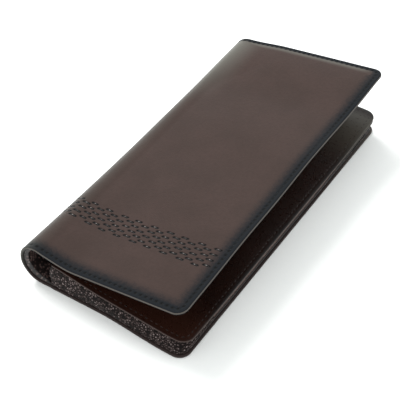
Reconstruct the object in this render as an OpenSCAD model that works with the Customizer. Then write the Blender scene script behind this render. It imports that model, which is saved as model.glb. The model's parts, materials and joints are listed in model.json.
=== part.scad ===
// Long bifold wallet with a gusseted bill compartment, a zipped coin pocket and eight card slots.
// Millimetres, +Z up. The back cover lies flat on z = 0, the spine is on the -X side and the
// long edges run along Y. The wallet is drawn resting slightly open.

/* [Cover] */
// Length of the wallet along its spine
wallet_length = 190; // [170:1:210]
// Width of the back cover from the first fold to the opening edge
back_width = 80; // [78:0.5:90]
// Width of the flap from the last fold to the opening edge
flap_width = 83.5; // [82:0.5:92]
// Radius of the rounded outer corners
corner_radius = 8; // [5:0.5:12]
// Thickness of the cover leather
cover_leather = 1.1; // [0.9:0.1:1.2]
// Thickness of the bonded board between the cover and its lining
board_thickness = 0.4; // [0.3:0.1:0.5]
// Thickness of the lining leather
lining_leather = 0.5; // [0.4:0.1:0.6]
// Width of the cover leather turned in round the edge
turned_edge = 4; // [3:0.5:5]
// How far the lining stops short of the cover's edge
lining_inset = 1.2; // [0.8:0.1:1.5]

/* [Spine] */
// Angle of the flap above the table as the wallet rests
flap_tilt = 7.5; // [5:0.5:9]
// Width of the lowest strip of the rolled spine
lower_strip = 10.5; // [10:0.5:12]
// Width of the middle strip of the rolled spine
middle_strip = 9; // [8.5:0.5:11]
// Width of the top strip of the rolled spine
upper_strip = 8; // [7.5:0.5:9]
// Distance that each strip stops short of its fold line
fold_relief = 0.6; // [0.55:0.05:0.8]

/* [Coin pocket] */
// Width of the coin pocket from its zip to the opening edge
pocket_width = 75; // [72:0.5:76]
// Length of the coin pocket along Y
pocket_length = 184; // [164:1:204]
// Height of the pocket's top face at its zip edge
pocket_height = 16.6; // [16:0.1:17]
// Slope of the pocket down towards the opening edge
pocket_slope = 5.5; // [5:0.1:6]
// Thickness of the pocket at its zip edge
pocket_mouth = 7; // [6.8:0.1:7.4]
// Thickness of the pocket at the opening edge
pocket_toe = 3; // [2.8:0.1:3.4]
// Thickness of the pocket's leather
pocket_leather = 0.9; // [0.7:0.05:1]

/* [Card slots] */
// Number of card slots in each column
slots = 4; // [3:1:4]
// Distance from one slot's mouth to the next
slot_pitch = 10.5; // [10:0.5:11]
// Distance from the last fold to the first slot's mouth
first_slot = 22; // [20:0.5:24]
// Thickness of the slot leather
slot_leather = 0.6; // [0.5:0.05:0.6]

/* [Stitching] */
// Distance from the edge of the leather to its line of stitches
stitch_inset = 2.4; // [2:0.1:3]
// Number of decorative rows of running stitch
accent_rows = 8; // [4:1:10]
// Distance between the decorative rows
accent_spacing = 1.65; // [1.4:0.05:2]

/* [Hidden] */
$fn = 48;

// Every layer of the cover is placed from the fold line's middle plane, outside positive.
half_cover = (cover_leather + board_thickness + lining_leather) / 2;
board_top = half_cover - cover_leather;
lining_top = -half_cover + lining_leather;

// The spine turns by the same angle at each of its four folds.
fold_turn = (180 - flap_tilt) / 4;
lower_angle = 180 - fold_turn;
middle_angle = 180 - 2 * fold_turn;
upper_angle = 180 - 3 * fold_turn;

// The first fold is placed so that the wallet is centred on the Z axis.
spine_reach = -lower_strip * cos(lower_angle) - (middle_strip - fold_relief) * cos(middle_angle)
  + half_cover * sin(middle_angle);
half_width = (back_width + spine_reach) / 2;
fold_1 = [half_width - back_width, half_cover];
fold_2 = fold_1 + lower_strip * [cos(lower_angle), sin(lower_angle)];
fold_3 = fold_2 + middle_strip * [cos(middle_angle), sin(middle_angle)];
fold_4 = fold_3 + upper_strip * [cos(upper_angle), sin(upper_angle)];

// Card slots lean on each other like roof tiles.
slot_base = -half_cover - slot_leather;
slot_lift = 0.76;
slot_overlap = 2.5;
slot_end = flap_width - 3;
column_gap = 2;
column_margin = 5;

// The pocket's upper left edge, and its layers measured down from its top face
pocket_corner = [-30, pocket_height];
tape_thickness = 0.4;
bag_wall = 0.25;
bag_gap = 1.8;
rim_width = 2.5;
zip_plane = 1;
zip_level = -pocket_mouth / 2;
zip_half_gap = 0.4;
tooth_width = 0.8;
tooth_depth = 1.4;
zip_half_length = pocket_length / 2 - 14;
stop_length = 2;

// Slider and pull tab
slider_length = 8;
slider_half_width = 1.9;
slider_plate = 0.9;
slider_start = -zip_half_length + 0.5;
slider_flange = 0.5;
flange_gap = 1.5;
tooth_clearance = 0.3;
bridge_half = 0.3;
bridge_length = 2;
joint_lap = 0.1;
lug_reach = 1;
lug_length = 3.2;
lug_half = 0.8;
pin_radius = 0.5;
pin_clearance = 0.05;
pull_pin_x = -1.8;
pull_pin_y = slider_start + slider_length / 2;
pull_length = 12;
arm_length = 4;
arm_clearance = 0.4;
pull_thickness = 0.9;
pull_half_width = 2.2;

// Bellows leather of the bill compartment
gusset_leather = 0.8;
gusset_gap = 0.4;
gusset_end_gap = 2.4;
gusset_y = pocket_length / 2 - 1.2;

// Flat outline with square corners at x = 0 and rounded ones at the far end
module outline(width, length, radius) {
  translate([0, -length / 2]) square([width - radius, length]);
  translate([width - radius - 1, -length / 2 + radius]) square([radius + 1, length - 2 * radius]);
  for (side = [-1, 1]) translate([width - radius, side * (length / 2 - radius)]) circle(radius);
}

// Outline between two insets, open along the fold
module edge_band(width, length, radius, outer, inner) {
  difference() {
    outline(width - outer, length - 2 * outer, radius - outer);
    translate([-1, 0]) outline(width - inner + 1, length - 2 * inner, radius - inner);
  }
}

// Stack of a flat shape between two levels
module layer(low, high) {
  translate([0, 0, low]) linear_extrude(high - low) children();
}

// Places a piece drawn flat, hinged on the Y axis with its outer face up
module at_fold(fold, angle) {
  translate([fold[0], 0, fold[1]]) rotate([0, -angle, 0]) children();
}

module at_back() { translate([fold_1[0], 0, fold_1[1]]) mirror([0, 0, 1]) children(); }
module at_flap() { at_fold(fold_4, flap_tilt) children(); }
module at_pocket() {
  translate([pocket_corner[0], 0, pocket_corner[1]]) rotate([0, pocket_slope, 0]) children();
}

// Cover leather with its edge turned in over the board
module turned_cover(width) {
  layer(board_top, half_cover) intersection() {
    outline(width, wallet_length, corner_radius);
    translate([fold_relief, -wallet_length]) square([width, 2 * wallet_length]);
  }
  layer(lining_top, board_top) intersection() {
    edge_band(width, wallet_length, corner_radius, 0, turned_edge);
    translate([fold_relief, -wallet_length]) square([width, 2 * wallet_length]);
  }
}

module lining_sheet(width) {
  layer(-half_cover, lining_top) intersection() {
    outline(width - lining_inset, wallet_length - 2 * lining_inset, corner_radius - lining_inset);
    translate([fold_relief, -wallet_length]) square([width, 2 * wallet_length]);
  }
}

module board_sheet(width) {
  layer(lining_top, board_top) intersection() {
    outline(width - turned_edge, wallet_length - 2 * turned_edge, corner_radius - turned_edge);
    translate([fold_relief, -wallet_length]) square([width, 2 * wallet_length]);
  }
}

// Strip of the spine between two folds
module strip(width, length, low, high) {
  translate([fold_relief, -length / 2, low]) cube([width - 2 * fold_relief, length, high - low]);
}

module cover_strip(width) { strip(width, wallet_length, lining_top, half_cover); }
module lining_strip(width) {
  strip(width, wallet_length - 2 * lining_inset, -half_cover, lining_top);
}

module thread_line(width, length, radius, inset, level) {
  layer(level, level + 0.25) intersection() {
    edge_band(width, length, radius, inset - 0.3, inset + 0.3);
    translate([fold_relief, -length]) square([width, 2 * length]);
  }
}

module cover_back() { color([0.27, 0.22, 0.21]) at_back() turned_cover(back_width); }
module lining_back() { color([0.2, 0.12, 0.1]) at_back() lining_sheet(back_width); }
module board_back() { color([0.55, 0.48, 0.4]) at_back() board_sheet(back_width); }
module thread_back() {
  color([0.1, 0.09, 0.09]) at_back() mirror([0, 0, 1])
    thread_line(back_width, wallet_length, corner_radius, stitch_inset, half_cover);
}

module cover_flap() { color([0.33, 0.28, 0.26]) at_flap() turned_cover(flap_width); }
module lining_flap() { color([0.2, 0.12, 0.1]) at_flap() lining_sheet(flap_width); }
module board_flap() { color([0.55, 0.48, 0.4]) at_flap() board_sheet(flap_width); }
module thread_flap() {
  color([0.1, 0.09, 0.09]) at_flap()
    thread_line(flap_width, wallet_length, corner_radius, stitch_inset, half_cover);
}

module cover_fold_lower() {
  color([0.3, 0.25, 0.24]) at_fold(fold_1, lower_angle) cover_strip(lower_strip);
}
module cover_fold_middle() {
  color([0.32, 0.27, 0.25]) at_fold(fold_2, middle_angle) cover_strip(middle_strip);
}
module cover_fold_upper() {
  color([0.35, 0.3, 0.28]) at_fold(fold_3, upper_angle) cover_strip(upper_strip);
}
module lining_fold_lower() {
  color([0.2, 0.12, 0.1]) at_fold(fold_1, lower_angle) lining_strip(lower_strip);
}
module lining_fold_middle() {
  color([0.2, 0.12, 0.1]) at_fold(fold_2, middle_angle) lining_strip(middle_strip);
}
module lining_fold_upper() {
  color([0.2, 0.12, 0.1]) at_fold(fold_3, upper_angle) lining_strip(upper_strip);
}

// Rows of running stitch across the flap, parallel to its short edge
module accent_stitches() {
  color([0.09, 0.08, 0.08]) at_flap()
    for (row = [0 : accent_rows - 1])
      translate([2, -wallet_length / 2 + 27 + row * accent_spacing, half_cover])
        cube([flap_width - 12, 0.5, 0.25]);
}

module slip_pocket() {
  color([0.17, 0.1, 0.08]) at_flap()
    translate([0, -wallet_length / 2 + column_margin, slot_base]) translate([first_slot - 2, 0, 0])
      cube([slot_end - first_slot + 2, wallet_length - 2 * column_margin, slot_leather]);
}

// One slot: its mouth stands proud of the slot before it and its tail lies on the pocket
module card_slot(number, side) {
  mouth = first_slot + (number - 1) * slot_pitch;
  tail = number == slots ? slot_end : mouth + slot_pitch + slot_overlap;
  column = (wallet_length - 2 * column_margin - column_gap) / 2;
  near_end = side < 0 ? -wallet_length / 2 + column_margin : column_gap / 2;
  color([0.2, 0.11, 0.09]) at_flap()
    translate([0, near_end + column, 0]) rotate([90, 0, 0]) linear_extrude(column)
      polygon([
        [mouth, slot_base - slot_lift], [tail, slot_base],
        [tail, slot_base - slot_leather], [mouth, slot_base - slot_lift - slot_leather]
      ]);
}
module card_slot_near_1() { card_slot(1, -1); }
module card_slot_near_2() { card_slot(2, -1); }
module card_slot_near_3() { card_slot(3, -1); }
module card_slot_near_4() { card_slot(4, -1); }
module card_slot_far_1() { card_slot(1, 1); }
module card_slot_far_2() { card_slot(2, 1); }
module card_slot_far_3() { card_slot(3, 1); }
module card_slot_far_4() { card_slot(4, 1); }

// Bill compartment: a bellows strip along the spine and one at each short end
function pocket_underside(x) =
  let (toe = [pocket_width, -pocket_toe], mouth = [0, -pocket_mouth],
    slope = (toe[1] - mouth[1]) / pocket_width,
    along = (x - pocket_corner[0] - mouth[1] * sin(pocket_slope)) / cos(pocket_slope))
  pocket_height - along * sin(pocket_slope) + (mouth[1] + slope * along) * cos(pocket_slope);

gusset_left = -29.5;
module gusset_spine() {
  color([0.16, 0.13, 0.13])
    translate([gusset_left - gusset_leather / 2, -gusset_y, 2 * half_cover])
      cube([gusset_leather, 2 * gusset_y,
        pocket_underside(gusset_left) - gusset_gap - 2 * half_cover]);
}

module end_gusset(side) {
  left = gusset_left + gusset_leather / 2;
  right = half_width - stitch_inset - gusset_end_gap;
  color([0.16, 0.13, 0.13])
    translate([0, side * (gusset_y - gusset_leather / 2) + gusset_leather / 2, 0])
      rotate([90, 0, 0]) linear_extrude(gusset_leather)
        polygon([
          [left, 2 * half_cover], [right, 2 * half_cover],
          [right, pocket_underside(right) - gusset_gap], [left, pocket_underside(left) - gusset_gap]
        ]);
}
module gusset_near() { end_gusset(-1); }
module gusset_far() { end_gusset(1); }

// Coin pocket: every layer is a slice of the same wedge with rounded front corners
module pocket_slice(inset, profile) {
  at_pocket() intersection() {
    translate([0, 0, -pocket_mouth - 1]) linear_extrude(pocket_mouth + 2)
      outline(pocket_width - inset, pocket_length - 2 * inset, corner_radius - inset);
    translate([0, pocket_length, 0]) rotate([90, 0, 0]) linear_extrude(2 * pocket_length)
      polygon(profile);
  }
}

module coin_front() {
  color([0.14, 0.08, 0.07]) pocket_slice(0, [
    [0, 0], [pocket_width, 0], [pocket_width, -pocket_leather], [0, -pocket_leather]
  ]);
}
module coin_back() {
  color([0.14, 0.08, 0.07]) pocket_slice(0, [
    [0, -pocket_mouth + pocket_leather], [pocket_width, -pocket_toe + pocket_leather],
    [pocket_width, -pocket_toe], [0, -pocket_mouth]
  ]);
}

// Seam allowance joining the two leathers round three sides
module coin_rim() {
  color([0.12, 0.07, 0.06]) at_pocket() intersection() {
    translate([0, 0, -pocket_mouth]) linear_extrude(pocket_mouth)
      edge_band(pocket_width, pocket_length, corner_radius, 0, rim_width);
    translate([0, pocket_length, 0]) rotate([90, 0, 0]) linear_extrude(2 * pocket_length)
      polygon([
        [0, -pocket_leather], [pocket_width, -pocket_leather],
        [pocket_width, -pocket_toe + pocket_leather], [0, -pocket_mouth + pocket_leather]
      ]);
  }
}

// Cloth bag inside the pocket, open towards the zip
module coin_bag() {
  front = 8.2;
  back_slope = (pocket_mouth - pocket_toe) / pocket_width;
  end = pocket_width - rim_width - bag_gap;
  top = -pocket_leather;
  function floor_at(x) = -pocket_mouth + pocket_leather + back_slope * x;
  half = pocket_length / 2 - rim_width - bag_gap;
  color([0.22, 0.2, 0.19]) at_pocket() difference() {
    translate([0, half, 0]) rotate([90, 0, 0]) linear_extrude(2 * half)
      polygon([[front, top], [end, top], [end, floor_at(end)], [front, floor_at(front)]]);
    translate([0, half - bag_wall, 0]) rotate([90, 0, 0]) linear_extrude(2 * (half - bag_wall))
      polygon([
        [front - 1, top - bag_wall], [end - bag_wall, top - bag_wall],
        [end - bag_wall, floor_at(end) + bag_wall], [front - 1, floor_at(front - 1) + bag_wall]
      ]);
  }
}

module thread_coin() {
  color([0.1, 0.09, 0.09]) at_pocket() layer(0, 0.25)
    edge_band(pocket_width, pocket_length, corner_radius, stitch_inset - 0.3, stitch_inset + 0.3);
}

// Zip along the pocket's open edge: a tape is sewn under each leather and carries a row of teeth
module along_zip(half_length) {
  at_pocket() translate([0, half_length, 0]) rotate([90, 0, 0]) linear_extrude(2 * half_length)
    children();
}
tooth_top = zip_level + zip_half_gap + tooth_width;
tooth_bottom = zip_level - zip_half_gap - tooth_width;
tape_half_length = zip_half_length + 6;
tape_run = 8;

module zip_tape_upper() {
  color([0.11, 0.09, 0.09]) along_zip(tape_half_length) {
    translate([zip_plane - tape_thickness / 2, tooth_top])
      square([tape_thickness, -pocket_leather - tooth_top]);
    translate([zip_plane - tape_thickness / 2, -pocket_leather - tape_thickness])
      square([tape_run - zip_plane, tape_thickness]);
  }
}

module zip_tape_lower() {
  low = -pocket_mouth + pocket_leather;
  rise = (pocket_mouth - pocket_toe) / pocket_width;
  left = zip_plane - tape_thickness / 2;
  color([0.11, 0.09, 0.09]) along_zip(tape_half_length)
    polygon([
      [left, low + rise * left], [tape_run, low + rise * tape_run],
      [tape_run, low + rise * tape_run + tape_thickness],
      [left + tape_thickness, low + rise * left + tape_thickness],
      [left + tape_thickness, tooth_bottom], [left, tooth_bottom]
    ]);
}

module teeth_row(bottom) {
  color([0.5, 0.48, 0.45]) along_zip(zip_half_length)
    translate([zip_plane - tooth_depth / 2, bottom]) square([tooth_depth, tooth_width]);
}
module zip_teeth_upper() { teeth_row(zip_level + zip_half_gap); }
module zip_teeth_lower() { teeth_row(zip_level - zip_half_gap - tooth_width); }

module zip_stop(side) {
  color([0.55, 0.53, 0.5]) at_pocket()
    translate([zip_plane - 0.9, side * (zip_half_length + 0.1 + stop_length / 2) - stop_length / 2,
      tooth_bottom + 0.05])
      cube([1.8, stop_length, tooth_top - tooth_bottom - 0.1]);
}
module zip_stop_near() { zip_stop(-1); }
module zip_stop_far() { zip_stop(1); }

// Slider: two plates joined by a bridge between the rows, with flanges outside them
module zip_slider() {
  outer_face = zip_plane - tooth_depth / 2 - tooth_clearance;
  inner_face = zip_plane + tooth_depth / 2 + tooth_clearance;
  plate_size = [slider_plate, slider_length, 2 * slider_half_width];
  flange_size = [slider_flange, slider_length, slider_half_width - flange_gap];
  color([0.55, 0.53, 0.5]) at_pocket() translate([0, slider_start, 0]) {
    translate([outer_face - slider_plate, 0, zip_level - slider_half_width]) cube(plate_size);
    translate([inner_face, 0, zip_level - slider_half_width]) cube(plate_size);
    translate([outer_face - joint_lap, 0, zip_level - bridge_half])
      cube([inner_face - outer_face + 2 * joint_lap, bridge_length, 2 * bridge_half]);
    for (low = [zip_level - slider_half_width, zip_level + flange_gap]) {
      translate([outer_face - joint_lap, 0, low]) cube(flange_size);
      translate([inner_face - slider_flange + joint_lap, 0, low]) cube(flange_size);
    }
    difference() {
      translate([pull_pin_x - lug_reach, slider_length / 2 - lug_length / 2, zip_level - lug_half])
        cube([outer_face - slider_plate - pull_pin_x + lug_reach + joint_lap, lug_length,
          2 * lug_half]);
      translate([pull_pin_x, slider_length / 2, zip_level - 1])
        cylinder(r = pin_radius + pin_clearance, h = 2);
    }
  }
}

// Pull tab: two arms either side of the slider's lug, with the pin between them
module zip_pull() {
  arm_width = pull_half_width - lug_half - arm_clearance;
  color([0.5, 0.48, 0.45]) at_pocket() translate([pull_pin_x, pull_pin_y, zip_level]) {
    translate([0, 0, -pull_half_width]) cylinder(r = pin_radius, h = 2 * pull_half_width);
    for (low = [-pull_half_width, pull_half_width - arm_width])
      translate([-pull_thickness / 2, 0, low]) cube([pull_thickness, arm_length, arm_width]);
    translate([-pull_thickness / 2, arm_length - 1, -pull_half_width])
      cube([pull_thickness, pull_length - arm_length + 1, 2 * pull_half_width]);
  }
}

cover_back();
cover_fold_lower();
cover_fold_middle();
cover_fold_upper();
cover_flap();
lining_back();
lining_fold_lower();
lining_fold_middle();
lining_fold_upper();
lining_flap();
board_back();
board_flap();
thread_back();
thread_flap();
accent_stitches();
slip_pocket();
card_slot_near_1();
card_slot_near_2();
card_slot_near_3();
card_slot_near_4();
card_slot_far_1();
card_slot_far_2();
card_slot_far_3();
card_slot_far_4();
gusset_spine();
gusset_near();
gusset_far();
coin_front();
coin_back();
coin_rim();
coin_bag();
thread_coin();
zip_tape_upper();
zip_tape_lower();
zip_teeth_upper();
zip_teeth_lower();
zip_stop_near();
zip_stop_far();
zip_slider();
zip_pull();
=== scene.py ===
"""A long wallet in taupe-brown leather, resting on its back with the flap a little open."""
import json
import math

import bmesh
import bpy
import numpy as np
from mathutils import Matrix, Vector, kdtree, noise


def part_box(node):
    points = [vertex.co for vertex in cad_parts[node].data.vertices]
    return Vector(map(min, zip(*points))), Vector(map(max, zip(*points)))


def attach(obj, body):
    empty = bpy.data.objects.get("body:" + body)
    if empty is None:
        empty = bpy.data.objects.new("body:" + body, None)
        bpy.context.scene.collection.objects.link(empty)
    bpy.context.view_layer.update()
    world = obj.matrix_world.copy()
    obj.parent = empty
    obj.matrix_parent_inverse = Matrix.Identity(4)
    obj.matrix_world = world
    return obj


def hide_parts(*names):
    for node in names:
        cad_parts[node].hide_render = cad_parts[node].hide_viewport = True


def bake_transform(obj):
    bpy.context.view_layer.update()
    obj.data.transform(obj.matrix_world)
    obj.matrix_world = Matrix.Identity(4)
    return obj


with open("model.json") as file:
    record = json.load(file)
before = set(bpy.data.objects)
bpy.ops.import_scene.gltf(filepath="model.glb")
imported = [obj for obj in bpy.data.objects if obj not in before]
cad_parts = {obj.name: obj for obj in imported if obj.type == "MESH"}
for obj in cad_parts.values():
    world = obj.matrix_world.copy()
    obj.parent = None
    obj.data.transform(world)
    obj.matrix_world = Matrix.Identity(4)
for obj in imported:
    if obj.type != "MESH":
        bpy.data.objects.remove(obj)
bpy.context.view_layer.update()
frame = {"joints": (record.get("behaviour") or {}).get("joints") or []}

# ---- Camera, table and lamps -------------------------------------------------------------
# The wallet lies on a plain white table. A broad soft lamp stands to the left, a weaker one in
# front, and the room is pale and even.

MM = 0.001
aim = Vector((0.1, -12.7, 10.0)) * MM
camera_turn, camera_rise = math.radians(32.83), math.radians(43.95)
camera_distance = 551.7 * MM
towards_camera = Vector((
    math.sin(camera_turn) * math.cos(camera_rise),
    -math.cos(camera_turn) * math.cos(camera_rise),
    math.sin(camera_rise)))
camera_data = bpy.data.cameras.new("camera")
camera_data.sensor_width = 36.0
camera_data.lens = 100.1
camera_data.dof.use_dof = False
camera_data.clip_start, camera_data.clip_end = 0.05, 20.0
camera = bpy.data.objects.new("camera", camera_data)
camera.location = aim + towards_camera * camera_distance
camera.rotation_euler = (-towards_camera).to_track_quat("-Z", "Y").to_euler()
bpy.context.scene.collection.objects.link(camera)
bpy.context.scene.camera = camera
bpy.context.scene.view_settings.view_transform = "Standard"


def soft_lamp(name, place, size, watts, tint):
    """A square soft lamp that faces the middle of the wallet."""
    data = bpy.data.lights.new(name, "AREA")
    data.shape, data.size = "SQUARE", size
    data.energy, data.color = watts, tint
    lamp = bpy.data.objects.new(name, data)
    lamp.location = Vector(place)
    lamp.rotation_euler = (aim - lamp.location).to_track_quat("-Z", "Y").to_euler()
    lamp.visible_glossy = False
    bpy.context.scene.collection.objects.link(lamp)


soft_lamp("window_lamp", (-0.95, 0.25, 1.1), 0.75, 21.0, (1.0, 1.0, 0.985))
soft_lamp("front_lamp", (0.3, -1.2, 1.1), 0.8, 4.0, (1.0, 0.985, 0.96))

room = bpy.data.worlds.new("room")
room.use_nodes = True
room_light = room.node_tree.nodes["Background"]
room_light.inputs["Color"].default_value = (0.965, 1.0, 0.985, 1.0)
room_light.inputs["Strength"].default_value = 1.05
bpy.context.scene.world = room


class Finish:
    """A procedural material that is put together node by node."""

    def __init__(self, name):
        self.material = bpy.data.materials.new(name)
        self.material.use_nodes = True
        self.tree = self.material.node_tree
        self.shader = self.tree.nodes["Principled BSDF"]

    def node(self, kind, **settings):
        made = self.tree.nodes.new("ShaderNode" + kind)
        for key, value in settings.items():
            setattr(made, key, value)
        return made

    def feed(self, socket, value):
        """Links an output to a socket, or sets the socket to a plain value."""
        if isinstance(value, bpy.types.NodeSocket):
            self.tree.links.new(value, socket)
        elif isinstance(value, tuple) and len(value) == 3 and socket.type == "RGBA":
            socket.default_value = (*value, 1.0)
        else:
            socket.default_value = value

    def stored(self, name):
        """A number or a vector that is stored with the mesh."""
        return self.node("Attribute", attribute_name=name)

    def scaled(self, vector, scale):
        made = self.node("VectorMath", operation="MULTIPLY")
        self.feed(made.inputs[0], vector)
        made.inputs[1].default_value = scale
        return made.outputs[0]

    def noise(self, vector, scale, detail=2.0, roughness=0.5):
        made = self.node("TexNoise")
        self.feed(made.inputs["Vector"], vector)
        made.inputs["Scale"].default_value = scale
        made.inputs["Detail"].default_value = detail
        made.inputs["Roughness"].default_value = roughness
        return made.outputs["Fac"]

    def cells(self, vector, scale):
        made = self.node("TexVoronoi", feature="F1")
        self.feed(made.inputs["Vector"], vector)
        made.inputs["Scale"].default_value = scale
        return made.outputs["Distance"]

    def axes(self, vector):
        """The first two numbers of a vector."""
        made = self.node("SeparateXYZ")
        self.feed(made.inputs["Vector"], vector)
        return made.outputs["X"], made.outputs["Y"]

    def reckon(self, operation, first, second):
        made = self.node("Math", operation=operation)
        self.feed(made.inputs[0], first)
        self.feed(made.inputs[1], second)
        return made.outputs[0]

    def times(self, first, second):
        return self.reckon("MULTIPLY", first, second)

    def swing(self, value, size):
        """A noise of 0 to 1, brought to so much either way of nothing."""
        return self.times(self.reckon("SUBTRACT", value, 0.5), size)

    def between(self, value, low, high, out_low=0.0, out_high=1.0):
        """value brought from low..high to out_low..out_high, smoothly."""
        made = self.node("MapRange", interpolation_type="SMOOTHSTEP")
        self.feed(made.inputs["Value"], value)
        for socket, number in zip(("From Min", "From Max", "To Min", "To Max"),
                                  (low, high, out_low, out_high)):
            made.inputs[socket].default_value = number
        return made.outputs["Result"]

    def blend(self, share, first, second):
        made = self.node("Mix", data_type="RGBA", blend_type="MIX")
        self.feed(made.inputs["Factor"], share)
        self.feed(made.inputs[6], first)
        self.feed(made.inputs[7], second)
        return made.outputs[2]

    def colour(self, value):
        self.feed(self.shader.inputs["Base Color"], value)

    def colour_so_far(self):
        return self.shader.inputs["Base Color"].links[0].from_socket

    def roughness(self, value):
        self.feed(self.shader.inputs["Roughness"], value)

    def relief(self, height, depth):
        """Small relief: depth is the height of the tallest grain in millimetres."""
        made = self.node("Bump")
        made.inputs["Strength"].default_value = 1.0
        made.inputs["Distance"].default_value = depth * MM
        self.feed(made.inputs["Height"], height)
        self.feed(self.shader.inputs["Normal"], made.outputs["Normal"])

    def set(self, socket, value):
        self.shader.inputs[socket].default_value = value


table_finish = Finish("table_white")
table_grain = table_finish.noise(table_finish.node("TexCoord").outputs["Object"], 300.0)
table_finish.colour(table_finish.blend(table_grain, (0.93, 0.935, 0.94), (0.96, 0.96, 0.96)))
table_finish.roughness(0.75)
table_finish.set("Specular IOR Level", 0.1)
table_mesh = bpy.data.meshes.new("table")
table_mesh.from_pydata([(-4, -4, 0), (4, -4, 0), (4, 4, 0), (-4, 4, 0)], [], [(0, 1, 2, 3)])
table_mesh.materials.append(table_finish.material)
table = bpy.data.objects.new("table", table_mesh)
bpy.context.scene.collection.objects.link(table)

# ---- Cover -------------------------------------------------------------------------------
# One hide of smooth tanned leather covers the flap, the rolled spine and the back. It is
# turned in over the boards, creased and burnished blue-black along its edges, and it bends at
# four places round the spine. Here it is laid out flat: s runs over it from the back's free
# edge to the flap's, y runs along the wallet, and lift is the height over its middle layer.

folds = {j["name"]: np.array(j["pos_m"]) / MM for j in frame["joints"] if "pos_m" in j}
fold = [folds[f"spine_fold_{number}"] for number in (1, 2, 3, 4)]
half_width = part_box("cover_back")[1].x / MM
half_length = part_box("cover_back")[1].y / MM
half_cover = fold[0][2]
# Corners, the flap from its fold to its edge, and how far the bend at each fold reaches
corner_radius, flap_corner = 6.0, 5.5
flap_width = 83.5
roll_reach = (6.0, 4.5, 4.5, 3.5)
fold_turn = math.atan2(fold[1][2] - fold[0][2], fold[0][0] - fold[1][0])


def rolled_spine():
    """The hide's middle line as stretches of one curvature: where each starts, its heading."""
    stretches = [(0.0, half_width, half_cover, math.pi, 0.0)]
    s = half_width - fold[0][0] - roll_reach[0]
    x, z, heading = fold[0][0] + roll_reach[0], half_cover, math.pi
    for reach in roll_reach:
        radius = reach / math.tan(fold_turn / 2)
        stretches.append((s, x, z, heading, -1 / radius))
        turned = heading - fold_turn
        x += radius * (math.sin(heading) - math.sin(turned))
        z += radius * (math.cos(turned) - math.cos(heading))
        heading, s = turned, s + radius * fold_turn
    stretches.append((s, x, z, heading, 0.0))
    return np.array(stretches)


stretches = rolled_spine()
roll_start, cut_lower, cut_middle, cut_upper, flap_start = stretches[1:, 0]
hide_width = flap_start + flap_width - roll_reach[3]


def smooth(value):
    """Brings 0..1 to 0..1 with soft ends."""
    value = np.clip(value, 0.0, 1.0)
    return value * value * (3 - 2 * value)


def hide_line(s):
    """Point (x, z) and outward normal (x, z) of the hide's middle line at s."""
    which = np.clip(np.searchsorted(stretches[:, 0], s, side="right") - 1, 0, None)
    start, x, z, heading, bend = np.moveaxis(stretches[which], -1, 0)
    run = s - start
    straight = np.abs(bend) < 1e-9
    safe = np.where(straight, 1.0, bend)
    now = heading + bend * run
    x = x + np.where(straight, run * np.cos(heading), (np.sin(now) - np.sin(heading)) / safe)
    z = z + np.where(straight, run * np.sin(heading), (np.cos(heading) - np.cos(now)) / safe)
    return x, z, -np.sin(now), np.cos(now)


# The hide has taken a set with use: its ends draw in round the roll, the roll is plump and a
# little waisted, the flap's near end droops and its far end curls up and leans out.
near_draw, far_draw = 2.5, 0.8
waist, swell = 1.0, 2.6
near_droop, far_curl, far_rise, far_push = 3.9, 3.3, 1.2, 1.1
ripple_height, ripple_length = 0.22, 8.5


def drawn_in(s, y):
    """How far the hide's ends draw in along the wallet, most round the roll."""
    before_flap = 1 - smooth((s - cut_upper) / 28)
    near_in = near_draw * smooth((s - 8) / 42) * (1 - 0.55 * smooth((s - 78) / 18)) * before_flap
    far_in = far_draw * smooth((s - 20) / 50) * before_flap
    return -np.sign(y) * (y / half_length) ** 2 * np.where(y < 0, near_in, far_in)


def plumpness(s, y):
    """How far the roll stands out: a little more at its near end, longer at its far end."""
    near_share, far_share = smooth(-y / half_length - 0.2), smooth((y - 45) / 45)
    plump = swell * (1 + 0.18 * near_share - 0.25 * far_share)
    return plump * smooth((s - 76) / 10) * (1 - smooth((s - 98) / (14 + 24 * far_share)))


def risen(s, y):
    """How far the flap lies above flat, below it at the near end."""
    along_flap = s - flap_start
    droop = near_droop * np.clip((15 - y) / 110, 0, 1) ** 1.6 * smooth((along_flap + 7) / 28)
    curl = far_rise * smooth((y + 10) / 40) + far_curl * smooth((y - 48) / 40)
    curl = curl * (0.6 * smooth((s - cut_middle) / 13) + 0.4 * smooth(along_flap / 25))
    ripple = ripple_height * np.sin(y / ripple_length + 0.6) * smooth((along_flap - 55) / 20)
    return curl + ripple * (1 - (y / half_length) ** 4) - droop


def on_hide(s, y, lift):
    """The point in the wallet, in mm, of a spot on the hide."""
    s, y, lift = np.broadcast_arrays(*(np.asarray(v, float) for v in (s, y, lift)))
    x, z, normal_x, normal_z = hide_line(s)
    lift = lift + plumpness(s, y)
    over_roll = smooth((s - roll_start) / 12) * (1 - smooth((s - cut_upper) / 14))
    waisted = waist * (1 - (y / half_length) ** 2) * over_roll
    pushed = far_push * smooth((s - flap_start - 45) / 30) * smooth((y - 35) / 45)
    return np.stack([x + normal_x * lift + waisted + pushed, y + drawn_in(s, y),
                     z + normal_z * lift + risen(s, y)], axis=-1)


def corner_at(s):
    """The corners of the flap are cut tighter than those of the back."""
    return np.where(np.asarray(s) > hide_width / 2, flap_corner, corner_radius)


def inset(s, y):
    """How far a spot is from the hide's edge, in mm."""
    from_end = np.minimum(s, hide_width - s)
    from_side = half_length - np.abs(y)
    radius = corner_at(s)
    in_corner = (from_end < radius) & (from_side < radius)
    round_corner = radius - np.hypot(radius - from_end, radius - from_side)
    return np.where(in_corner, round_corner, np.minimum(from_end, from_side))


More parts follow.
